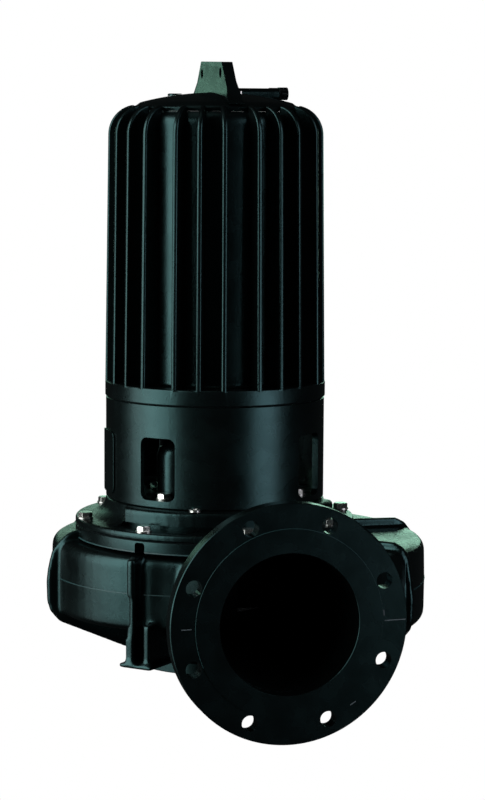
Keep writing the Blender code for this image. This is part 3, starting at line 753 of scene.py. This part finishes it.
# %% Seal housing
SHAFT_BORE = 0.0253
profile = [(SHAFT_BORE, 0.2457), (0.078, 0.2457), (0.082, 0.2430), (0.086, 0.2360), (0.086, 0.1400),
           (0.0880, 0.1365), (0.0980, 0.1340), (0.0995, 0.1320), (0.0995, 0.1174), (SHAFT_BORE, 0.1174),
           (SHAFT_BORE, 0.2457)]
barrel = lathe("seal_barrel", profile, 96)
boss = lathe("boss", [(0.0, 0.080), (0.018, 0.078), (0.026, 0.072), (0.030, 0.060), (0.030, 0.0),
                      (0.0, 0.0)], 48, Matrix.Translation(spot(-47.0, 0.105, 0.130)))
merge(barrel, "UNION", boss)
deliver(barrel, SMOOTH_PAINT, "paint", "seal_housing")

# %% [markdown]
# ## Pump cover
# The oil chamber cover is a rough casting with soft fillets everywhere. Its neck flares into a flange,
# and towards the discharge it swells into the oil chamber. The solids are joined loosely and then
# remeshed in small voxels, which melts the joints into fillets like those of a sand mould. The shadow
# gap under the oil chamber is cut afterwards, so that it stays sharp.

# %% Pump cover
COVER_RADIUS = 0.2145
COVER_TOP, COVER_FOOT = 0.1171, 0.0762
CHAMBER_CORE, CHAMBER_REACH = 0.150, 0.187
VOXEL_COVER = 0.0024


def chamber_end(step):
    """Angle and reach at a step of the oil chamber's rounded end."""
    swing = math.sin(math.radians(15 * step))
    return 65.0 - 4.5 * swing, 0.172 + 0.015 * swing


def make_cover():
    """Neck, flange and oil chamber, melted into one casting."""
    neck = arc((0.1974, 0.1176), 0.030, 180, 258, 8)
    profile = [(SHAFT_BORE, COVER_TOP), (0.1674, COVER_TOP)] + neck[1:]
    profile += [(COVER_RADIUS - 0.002, 0.0866), (COVER_RADIUS, 0.0850), (COVER_RADIUS, COVER_FOOT),
                (SHAFT_BORE, COVER_FOOT), (SHAFT_BORE, COVER_TOP)]
    cover = lathe("oil_chamber_cover", profile, 120)
    ends = [chamber_end(step) for step in range(7)]
    stations = [(-turn, reach) for turn, reach in ends]
    stations += [(-60.5 + 121.0 * i / 20, CHAMBER_REACH) for i in range(1, 20)]
    stations += reversed(ends)
    rings = []
    for turn, reach in stations:
        section = [(CHAMBER_CORE, 0.0925), (reach, 0.0925), (reach, 0.1128), (reach - 0.004, 0.1167),
                   (CHAMBER_CORE, 0.1167)]
        rings.append([spot(turn, r, z) for r, z in section])
    join(cover, skin("oil_chamber", rings))
    melt(cover, VOXEL_COVER)
    hollow = block(0.171, 0.200, 0.0870, 0.0955)
    rings = [[spot(-63.0 + 126.0 * i / 32, r, z) for r, z in hollow] for i in range(33)]
    merge(cover, "DIFFERENCE", skin("hollow", rings))
    return deliver(cover, CAST_PAINT, "paint", "pump_cover", smooth=60)


make_cover()

# %% [markdown]
# ## Volute
# A volute is a spiral: its outer radius grows from the tongue round to the discharge, here with a
# power of the angle. Its section is drawn as a ring at 81 stations and skinned, the ribs and feet are
# plates, and the whole is melted by a remesh, as the cover is. The turned rim on top, its two pockets
# and the water's way are made after that, because their edges are crisp.

# %% Volute sizes
TONGUE = -34.0
SWEEP = 326.0
STATIONS = 81
SPIRAL_START, SPIRAL_GROWTH, SPIRAL_POWER = 0.2135, 0.00113, 0.827
SPIRAL_TOP, TOP_CLIMB = 0.0520, 0.0000185
SPIRAL_BOTTOM, BOTTOM_FALL = -0.0605, 0.000013
TOP_ROUND, BOTTOM_ROUND = 0.0160, 0.0120
PASSAGE_CORNER = 0.0140
CASING_WALL = 0.0140
CASING_TOP = 0.0747
CASING_FOOT = -0.1210
FOOT_LEVEL = -0.1110
FOOT_REACH = 0.2415
NECK_RADIUS = 0.1090
PARTING = -0.0035
RIM_FOOT = 0.0570
VOXEL_CASING = 0.0033
# Rings of the nozzle: y, half width, half height, and the power that makes an ellipse boxy.
NOZZLE = ((-0.378, 0.114, 0.114, 2.0), (-0.330, 0.110, 0.108, 2.3), (-0.280, 0.105, 0.090, 2.8),
          (-0.228, 0.102, 0.066, 3.4), (-0.120, 0.102, 0.060, 4.0))
NOZZLE_STEPS = 40


def volute_radius(sweep):
    """Outer radius of the volute at an angle from its tongue."""
    return SPIRAL_START + SPIRAL_GROWTH * max(sweep, 0.0) ** SPIRAL_POWER


def volute_section(sweep, inset, inner):
    """Half-open section of the volute, smaller by an inset."""
    outer = volute_radius(sweep) - inset
    top = SPIRAL_TOP + TOP_CLIMB * sweep - inset
    bottom = SPIRAL_BOTTOM - BOTTOM_FALL * sweep + inset
    if inset:
        return [(inner, top), (outer - PASSAGE_CORNER, top), (outer, top - PASSAGE_CORNER),
                (outer, bottom + PASSAGE_CORNER), (outer - PASSAGE_CORNER, bottom), (inner, bottom)]
    shoulder = arc((outer - 0.0170, top - TOP_ROUND), TOP_ROUND, 90, 0, 6)
    heel = arc((outer - 0.0125, bottom + BOTTOM_ROUND), BOTTOM_ROUND, 0, -90, 5)
    return [(inner, top)] + shoulder + [(outer, PARTING)] + heel + [(inner, bottom)]


def sweep_round(name, first, last, section):
    """Skin a section that is given for each angle from the tongue."""
    rings = []
    for station in range(STATIONS):
        sweep = first + (last - first) * station / (STATIONS - 1)
        rings.append([spot(TONGUE - sweep, r, z) for r, z in section(sweep)])
    return skin(name, rings)


def volute_body(name, inset, inner, first, last):
    """The volute's body, or the water passage in it."""
    return sweep_round(name, first, last, lambda sweep: volute_section(sweep, inset, inner))


def seam_section(sweep):
    """Thin wedge of iron where the two halves of the mould met, on the volute's belly."""
    root, edge = volute_radius(sweep) - 0.004, volute_radius(sweep) + 0.0006
    return [(root, PARTING + 0.0007), (edge, PARTING + 0.0005), (edge, PARTING - 0.0005),
            (root, PARTING - 0.0007)]


def nozzle_body(name, wall, front):
    """The discharge nozzle, or the bore in it: round at the flange, boxier at the volute."""
    rings = []
    for y, width, height, power in ((front, *NOZZLE[0][1:]), *NOZZLE):
        ring = []
        for step in range(NOZZLE_STEPS):
            turn = 2 * math.pi * step / NOZZLE_STEPS
            x = math.copysign(abs(math.cos(turn)) ** (2 / power), math.cos(turn))
            z = math.copysign(abs(math.sin(turn)) ** (2 / power), math.sin(turn))
            ring.append((x * (width - wall), y, z * (height - wall)))
        rings.append(ring)
    return skin(name, rings)


print("spiral", round(volute_radius(0.0), 3), "to", round(volute_radius(SWEEP), 3), "m")

# %% Ribs, feet and pockets
FEET = (-45.0, -135.0, -225.0, -315.0)
RIBS = ((-90.0, 0.0184), (-135.0, 0.0112), (-180.0, 0.0112), (-225.0, 0.0112), (-270.0, 0.0112),
        (-315.0, 0.0112))
RIB_THICKNESS = 0.0120
WEB_THICKNESS = 0.0105
SOLE_WIDTH, SOLE_THICKNESS = 0.0570, 0.0072
RIB_START, RIB_LIFT, RIB_DROP = 56.0, 0.00005, 0.00002


def rib_shape(angle, rise):
    """Rib from the top flange round the volute and down to the suction neck, or to its foot."""
    sweep = TONGUE - angle
    edge = volute_radius(sweep) + rise
    lift, drop = RIB_LIFT * (sweep - RIB_START), RIB_DROP * (sweep - RIB_START)
    crown = CASING_TOP - 0.004
    shape = [(0.128, crown), (COVER_RADIUS - 0.003, crown),
             (max(edge - 0.034, COVER_RADIUS), 0.0649 + 0.5 * lift), (edge - 0.020, 0.0531 + lift),
             (edge - 0.009, 0.0380 + lift), (edge - 0.003, 0.0146 - drop), (edge, -0.0083 - drop),
             (edge - 0.001, -0.0392 - drop), (edge - 0.006, -0.0552 - drop), (edge - 0.020, -0.0713 - drop)]
    if angle in FEET:
        return shape + [(FOOT_REACH, -0.084), (FOOT_REACH, FOOT_LEVEL + 0.004),
                        (NECK_RADIUS, FOOT_LEVEL + 0.004), (NECK_RADIUS, 0.0)]
    return shape + [(0.1405, -0.1155), (NECK_RADIUS, CASING_FOOT + 0.002), (NECK_RADIUS, 0.0)]


def front_rib():
    """The rib at the narrow start of the spiral, in three plates: pad, stem and shin."""
    pad = [(0.128, 0.0590), (COVER_RADIUS, 0.0590), (FOOT_REACH, 0.0490), (FOOT_REACH, -0.0040),
           (0.128, -0.0040)]
    stem = [(0.128, 0.0500), (FOOT_REACH - 0.002, 0.0480), (FOOT_REACH - 0.002, -0.0560), (0.128, -0.0560)]
    shin = [(NECK_RADIUS, 0.0), (0.128, -0.0500), (FOOT_REACH - 0.003, -0.0500),
            (FOOT_REACH - 0.001, -0.0680), (FOOT_REACH - 0.001, FOOT_LEVEL + 0.004),
            (NECK_RADIUS, FOOT_LEVEL + 0.004)]
    return [plate("pad", pad, 0.0130, radial(FEET[0])), plate("stem", stem, 0.0100, radial(FEET[0], 0.0015)),
            plate("shin", shin, 0.0130, radial(FEET[0], -0.0010))]


def foot(angle):
    """Second web of a foot, and the sole under both webs."""
    web = block(0.112, FOOT_REACH - 0.004, -0.0455, FOOT_LEVEL + 0.006)
    sole = block(0.163, FOOT_REACH + 0.003, FOOT_LEVEL, FOOT_LEVEL + SOLE_THICKNESS)
    return [plate("web", web, WEB_THICKNESS, radial(angle, 0.026)),
            plate("sole", sole, SOLE_WIDTH, radial(angle, 0.010))]


def pocket(angle):
    """Tool for the pocket that is open at the bottom, in the rim over a rib."""
    shape = window_shape(0.0170, 0.0520, 0.0722, 0.0045)
    return plate("pocket", shape, 0.060, facing(angle, COVER_RADIUS))


# %% Volute casing
def make_casing():
    """Spiral, nozzle, flange, neck, ribs and feet, melted into one casting, then bored."""
    profile = [(0.0, RIM_FOOT + 0.004), (0.190, RIM_FOOT + 0.004), (0.186, 0.045), (0.178, -0.058),
               (0.118, -0.075), (0.118, CASING_FOOT), (0.0, CASING_FOOT)]
    casing = lathe("spiral_casing", profile, 96)
    solids = [volute_body("spiral", 0.0, 0.104, -16.0, SWEEP), nozzle_body("nozzle", 0.0, -0.4077)]
    solids += [plate("rib", rib_shape(angle, rise), RIB_THICKNESS, radial(angle)) for angle, rise in RIBS]
    solids += front_rib()
    for angle in FEET:
        solids += foot(angle)
    merge(casing, "UNION", *solids)
    melt(casing, VOXEL_CASING)

    rim = [(0.150, CASING_TOP), (COVER_RADIUS - 0.0008, CASING_TOP), (COVER_RADIUS, CASING_TOP - 0.0008),
           (COVER_RADIUS, RIM_FOOT + 0.0020), (COVER_RADIUS - 0.0006, RIM_FOOT + 0.0006),
           (COVER_RADIUS - 0.0020, RIM_FOOT), (0.150, RIM_FOOT), (0.150, CASING_TOP)]
    merge(casing, "UNION", lathe("rim", rim, 144))
    merge(casing, "DIFFERENCE", pocket(FEET[0]), pocket(FEET[2]))

    chamber = lathe("chamber", [(0.0, 0.085), (0.156, 0.085), (0.156, -0.056), (0.088, -0.066),
                                (0.088, -0.131), (0.0, -0.131)], 96)
    passage = volute_body("passage", CASING_WALL, 0.140, 14.0, SWEEP - 12.0)
    merge(casing, "DIFFERENCE", chamber, passage, nozzle_body("bore", CASING_WALL, -0.444))
    return deliver(casing, CAST_PAINT, "paint", "volute_casing", smooth=60)


make_casing()

# %% [markdown]
# ## Seam and bead
# Where the halves of the mould met, a sand casting keeps a thin fin of iron, and paint collects in a
# bead under the rim. Both are under a millimetre, too fine for the remesh, and their lighter colour is
# a painted highlight for the light they catch. So they are a piece of their own, skinned along the spiral
# and turned.

# %% Seam and bead
BEAD_INSIDE, BEAD_OUTSIDE = 0.2060, COVER_RADIUS + 0.0004
BEAD_FOOT, BEAD_TOP = RIM_FOOT - 0.0001, RIM_FOOT + 0.0022
profile = [(BEAD_INSIDE, BEAD_FOOT), (COVER_RADIUS - 0.0003, BEAD_FOOT), (BEAD_OUTSIDE, RIM_FOOT + 0.0006),
           (BEAD_OUTSIDE, BEAD_TOP), (BEAD_INSIDE, BEAD_TOP), (BEAD_INSIDE, BEAD_FOOT)]
bead = merge(lathe("rim_bead", profile, 144), "DIFFERENCE", pocket(FEET[0]), pocket(FEET[2]))
seam = sweep_round("seam", -6.0, SWEEP - 20.0, seam_section)
# Seam and bead both take the painted highlight colour.
deliver(join(seam, bead), PAINTED_HIGHLIGHT, "paint", smooth=20)

# %% [markdown]
# ## Discharge flange
# The flange is turned on a lathe: its raised face, rim and bore keep crisp but broken edges. It is
# turned round a vertical axis and then laid down towards the discharge, drilled, and nicked where
# the real one was knocked.

# %% Discharge flange
FLANGE_RADIUS = 0.170
FLANGE_BACK = FACE + 0.026
BORE_RADIUS = 0.100
RAISED_RADIUS = 0.1343
RAISED_LEVEL, RIM_LEVEL = 0.0260, 0.0246
BOLT_CIRCLE = 0.1475
HOLES, HOLE_RADIUS = 8, 0.0115
NICKS = ((48.0, 0.0028), (169.5, 0.0012), (255.6, 0.0010), (318.5, 0.0008))


def nick(angle, depth):
    """Block that takes a flat of some depth off the front edge of the rim."""
    start_clean()
    bpy.ops.mesh.primitive_cube_add(size=0.08)
    around_bore = Matrix.Rotation(math.radians(-angle), 4, "Y")
    edge = around_bore @ Vector((FLANGE_RADIUS, FLANGE_BACK - RIM_LEVEL, 0.0))
    turn = around_bore @ Matrix.Rotation(math.radians(-45), 4, "Z")
    sink = Matrix.Translation((0.04 - depth / math.sqrt(2), 0.0, 0.0))
    return put(bpy.context.object, Matrix.Translation(edge) @ turn @ sink)


def make_flange():
    """Turned flange with a raised face and eight drilled holes."""
    profile = [(BORE_RADIUS, 0.0255), (BORE_RADIUS + 0.0005, RAISED_LEVEL),
               (RAISED_RADIUS - 0.0001, RAISED_LEVEL), (RAISED_RADIUS, RIM_LEVEL),
               (0.1690, RIM_LEVEL), (FLANGE_RADIUS, 0.0236),
               (FLANGE_RADIUS, 0.0020), (0.168, 0.0), (BORE_RADIUS, 0.0), (BORE_RADIUS, 0.0255)]
    lay = Matrix.Translation((0.0, FLANGE_BACK, 0.0)) @ TO_FRONT
    flange = lathe("outlet_flange", profile, 144, lay)
    for hole in range(HOLES):
        turn = math.radians(360 / HOLES * (hole + 0.5))
        x, z = BOLT_CIRCLE * math.cos(turn), BOLT_CIRCLE * math.sin(turn)
        merge(flange, "DIFFERENCE", rod("drill", HOLE_RADIUS, (x, FACE - 0.02, z), (x, FACE + 0.05, z)))
    soften(flange, 0.0005)
    for angle, depth in NICKS:
        merge(flange, "DIFFERENCE", nick(angle, depth))
    return deliver(flange, SMOOTH_PAINT, "paint", "discharge_flange", smooth=30)


make_flange()

# %% [markdown]
# ## Scratches and the lit step
# Four rubbed scratches lie on the rim, and the step of the raised face shows as a fine bright line,
# a painted highlight in a lighter colour. A line of paint could be a picture, but in metres it is as easily
# a strip of thin plate and a wedge skinned along the step, and it then holds at any distance.

# %% Scratches and the lit step
RIM_FRONT = Matrix.Translation((0.0, FLANGE_BACK - RIM_LEVEL, 0.0)) @ TO_FRONT
SCRATCHED = (((-0.1540, 0.0000), (-0.1400, 0.0000)), ((0.1370, -0.0002), (0.1680, 0.0002)),
             ((0.0880, -0.1180), (0.0960, -0.1130)), ((0.1355, 0.0150), (0.1362, 0.0070)))
SCRATCH_HALF = 0.0006
STEP_STATIONS = 72


def scratch(start, end):
    """Strip of rubbed paint between two points of the rim's face."""
    run = Vector((end[0] - start[0], end[1] - start[1]))
    side = Vector((-run.y, run.x)).normalized() * SCRATCH_HALF
    corners = [(x + side.x, z + side.y) for x, z in (start, end)]
    corners += [(x - side.x, z - side.y) for x, z in (end, start)]
    return plate("rim_scar", corners, 0.0006, RIM_FRONT)


def step_edge():
    """Wedge along the step of the raised face, over the top from right to left."""
    rings = []
    for station in range(STEP_STATIONS + 1):
        turn = math.radians(-12.0 + 216.0 * station / STEP_STATIONS)
        rings.append([RIM_FRONT @ Vector((r * math.cos(turn), r * math.sin(turn), z))
                      for r, z in ((0.1338, 0.0010), (0.1343, 0.0014), (0.1347, 0.0002), (0.1338, 0.0002))])
    return skin("step_edge", rings)


deliver(join(*[scratch(start, end) for start, end in SCRATCHED]), SCAR, "paint")
# The step's wedge takes the painted highlight colour.
deliver(step_edge(), PAINTED_HIGHLIGHT, "paint")

# %% [markdown]
# ## Suction ring
# A turned ring under the casing takes the strainer. It is machined all over, so a lathe profile with
# broken edges is all it needs.

# %% Suction ring
profile = [(0.088, -0.1213), (0.125, -0.1213), (0.127, -0.1230), (0.127, -0.1388), (0.1258, -0.140),
           (0.094, -0.140), (0.088, -0.134), (0.088, -0.1213)]
deliver(lathe("intake_ring", profile, 96), SMOOTH_PAINT, "paint", "suction_ring")

# %% [markdown]
# ## Fasteners
# The cover is held by eight M12 hexagon screws with washers, and three more stand inside the lantern,
# behind the windows that show them. A bright head needs only its hexagon, its chamfer and its washer
# to read as a screw, so one is made and copied, each copy turned as its own screw was left.

# %% Screws
WASHER_TOP = 0.0024
SCREW_ACROSS, SCREW_HEIGHT, WASHER_RADIUS = 0.0190, 0.0075, 0.0122
COVER_SCREWS = ((0, 17), (45, 13), (90, 13), (135, 50), (180, 1), (-135, 12), (-90, 23), (-45, 43))
COVER_CIRCLE, COVER_SEAT = 0.2030, 0.0867
LANTERN_SCREWS = ((-45, 43), (45, 31), (135, 11))
LANTERN_CIRCLE, LANTERN_SEAT = 0.1460, 0.1277


def screw_head():
    """Hexagon head on a round washer, standing on z = 0."""
    head = put(hexagon("cover_screw", SCREW_ACROSS, SCREW_HEIGHT), Matrix.Translation((0.0, 0.0, 0.0022)))
    disc = lathe("washer", [(0.0, WASHER_TOP), (WASHER_RADIUS - 0.0004, WASHER_TOP), (WASHER_RADIUS, 0.0020),
                            (WASHER_RADIUS, 0.0), (0.0, 0.0)], 40)
    return merge(head, "UNION", disc)


def turned(angle, radius, height, turn):
    """Place of a screw that was left turned by an angle of its own."""
    return Matrix.Translation(spot(angle, radius, height)) @ Matrix.Rotation(math.radians(turn), 4, "Z")


head = screw_head()
for angle, turn in COVER_SCREWS:
    deliver(twin(head, turned(angle, COVER_CIRCLE, COVER_SEAT, turn)), STEEL, "steel", smooth=25)
for angle, turn in LANTERN_SCREWS:
    inside = twin(head, turned(angle, LANTERN_CIRCLE, LANTERN_SEAT, turn))
    inside.name = inside.data.name = "lantern_screw"
    deliver(inside, STEEL, "steel", smooth=25)
bpy.data.objects.remove(head, do_unlink=True)

plug = lathe("oil_screw", [(0.0, 0.0030), (0.0030, 0.0030), (0.0034, 0.0038), (0.0076, 0.0038),
                           (0.0085, 0.0030), (0.0085, 0.0001), (0.0, 0.0001)], 32,
             Matrix.Translation(spot(-23.5, 0.1765, COVER_TOP)))
deliver(plug, STEEL, "steel", "oil_plug", smooth=30)

# %% [markdown]
# ## Studio
# The pump stands before white paper. A broad softbox with a brighter core on the left and a narrow
# one on the right draw the two upright bands on its barrel. Low ones light the casing's lower half,
# and three at the back shine along its roof. Floor and paper are seen by the camera alone, so the
# black paint mirrors the boxes and not the paper.

# %% Paper and floor
BACKDROP_RADIUS = 40.0
FLOOR_SIZE = 60.0
FLOOR_LEVEL = -0.2885


def paper(name, shape):
    """Plain white emission, for the backdrop and the floor, seen only by the camera."""
    finish = bpy.data.materials.new(name)
    finish.use_nodes = True
    tree = finish.node_tree
    tree.nodes.clear()
    glow = add_node(tree, "Emission", Color=(1.0, 1.0, 1.0, 1.0), Strength=1.0)
    tree.links.new(glow.outputs["Emission"], add_node(tree, "OutputMaterial").inputs["Surface"])
    finish.cycles.emission_sampling = "NONE"
    shape.name = shape.data.name = name
    shape.data.materials.append(finish)
    for ray in ("diffuse", "glossy", "transmission", "shadow", "volume_scatter"):
        setattr(shape, "visible_" + ray, False)


start_clean()
bpy.ops.mesh.primitive_uv_sphere_add(segments=48, ring_count=24, radius=BACKDROP_RADIUS)
paper("white_backdrop", bpy.context.object)
bpy.ops.mesh.primitive_plane_add(size=FLOOR_SIZE, location=(0.0, 0.0, FLOOR_LEVEL))
paper("pale_floor", bpy.context.object)
print("floor at", FLOOR_LEVEL)

# %% Lights
# Each box: name, angle round the pump, distance, height, height of what it looks at, width, height,
# watts and colour. Angles count from the discharge, and heights from its centre.
BOXES = (("left_box", -81.5, 2.5, 0.975, 0.30, 2.75, 3.0, 68.0, "#faffff"),
         ("left_core", -79.0, 2.45, 0.975, 0.30, 1.15, 3.0, 17.0, "#faffff"),
         ("left_fill", -56.0, 2.5, -0.47, 0.0, 0.60, 0.26, 0.25, "#faffff"),
         ("left_low", -81.5, 2.5, -1.0, 0.30, 2.75, 0.95, 8.7, "#faffff"),
         ("right_box", 40.0, 2.5, 0.85, 0.30, 1.15, 2.8, 27.0, "#f4f2ff"),
         ("top_box", -60.0, 0.8, 3.0, 0.30, 1.4, 1.4, 1.2, "#fafffc"),
         ("low_glow", 26.0, 2.5, -0.27, 0.0, 0.40, 0.40, 0.50, "#f4f8ff"),
         ("back_band", 156.0, 3.4, 0.56, 0.56, 1.8, 0.60, 9.2, "#c4ffe2"),
         ("back_left", 177.0, 3.4, 0.56, 0.56, 0.84, 0.60, 1.6, "#c4ffe2"),
         ("back_patch", -166.0, 3.4, 0.82, 0.82, 0.9, 0.32, 1.0, "#b8ffe0"))
WORLD_COLOUR, WORLD_STRENGTH = "#dcebec", 0.012


def softbox(name, place, target, width, height, power, colour):
    """Rectangular area light turned to a point of the pump."""
    start_clean()
    bpy.ops.object.light_add(type="AREA", location=place)
    light = bpy.context.object
    light.name = name
    light.data.shape = "RECTANGLE"
    light.data.size, light.data.size_y = width, height
    light.data.energy = power
    light.data.color = linear(colour)[:3]
    light.rotation_euler = (target - place).to_track_quat("-Z", "Y").to_euler()
    light.visible_camera = False


for name, azimuth, distance, height, aim, *make in BOXES:
    softbox(name, PUMP + spot(azimuth, distance, height), PUMP + aim * UP, *make)

world = bpy.data.worlds.new("studio")
bpy.context.scene.world = world
world.use_nodes = True
world.node_tree.nodes["Background"].inputs["Color"].default_value = linear(WORLD_COLOUR)
world.node_tree.nodes["Background"].inputs["Strength"].default_value = WORLD_STRENGTH
bpy.context.scene.view_settings.view_transform = "Standard"
print("softboxes:", len(BOXES))

# %% [markdown]
# ## Camera
# The place, the three turns and the lens were fitted to points of the real pump: the flange's rim
# and holes, the motor's rings and its fins. A camera set by eye would come close, but a flange seen
# at a slant shows every degree of error.

# %% Camera
CAMERA_PLACE = Vector((-0.9037, -3.6219, 0.6996))
HEADING, TILT, ROLL = -14.657, 6.669, 0.315
SENSOR_WIDTH, FOCAL_LENGTH = 36.0, 110.0

lens = bpy.data.cameras.new("camera")
camera = bpy.data.objects.new("camera", lens)
bpy.context.collection.objects.link(camera)
lens.sensor_width = SENSOR_WIDTH
lens.lens = FOCAL_LENGTH
camera.matrix_world = (Matrix.Translation(CAMERA_PLACE + PUMP)
                       @ Matrix.Rotation(math.radians(HEADING), 4, "Z")
                       @ Matrix.Rotation(math.radians(90.0 - TILT), 4, "X")
                       @ Matrix.Rotation(math.radians(ROLL), 4, "Z"))
bpy.context.scene.camera = camera
print("camera at", tuple(round(c, 3) for c in camera.matrix_world.translation))

# %% Deselect everything
start_clean()
